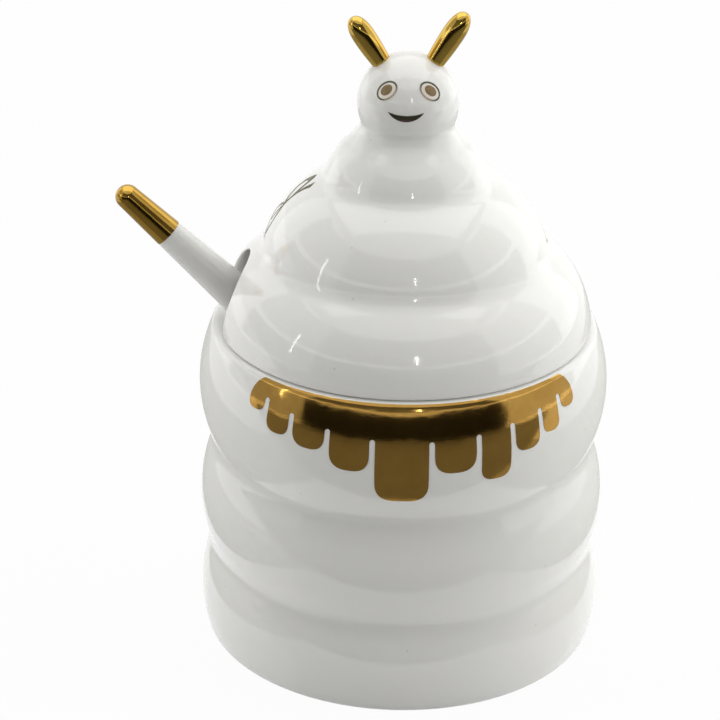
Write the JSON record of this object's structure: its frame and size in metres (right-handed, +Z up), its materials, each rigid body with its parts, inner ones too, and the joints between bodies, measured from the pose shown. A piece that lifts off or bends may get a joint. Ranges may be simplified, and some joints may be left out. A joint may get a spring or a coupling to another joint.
{
  "type": "honey pot with lift-off lid and dipper",
  "caption": "Hive-shaped glazed porcelain honey pot with a domed lift-off lid, an insect-head knob with gilt antennae, gilt drips round the rim and a dipper through an arch in the lid.",
  "frame": {"origin": "centre of the foot ring, on the plane that the pot stands on", "axes": "+Z up along the axis of the pot and lid; -Y is the front, where the face and the gilt drips are; +X is to the right, and the dipper leans out toward -X"},
  "size_m": [0.1197, 0.1001, 0.1603],
  "materials": {
    "white_glaze": "clear gloss glaze over white porcelain",
    "gold_lustre": "bright fired gold lustre",
    "brown_print": "fired brown-gold print under gloss",
    "olive_print": "fired dark olive print under gloss"
  },
  "bodies": {
    "pot": {"pot": "white_glaze", "honey_drips": "gold_lustre"},
    "lid": {"lid": "white_glaze", "head": "white_glaze", "antenna_left": "gold_lustre", "antenna_right": "gold_lustre", "eye_left": "brown_print", "eye_right": "brown_print", "mouth": "olive_print", "wing_upper": "gold_lustre", "wing_lower": "gold_lustre"},
    "dipper": {"dipper": "white_glaze", "dipper_gilding": "gold_lustre"}
  },
  "joints": [
    {"name": "lid_lift", "type": "slide", "parent": "pot", "child": "lid", "axis": [0, 0, 1], "range_m": [0, 0.06]},
    {"name": "dipper_draw", "type": "slide", "parent": "pot", "child": "dipper", "axis": [-0.7194, 0, 0.6946], "range_m": [0, 0.075]}
  ]
}
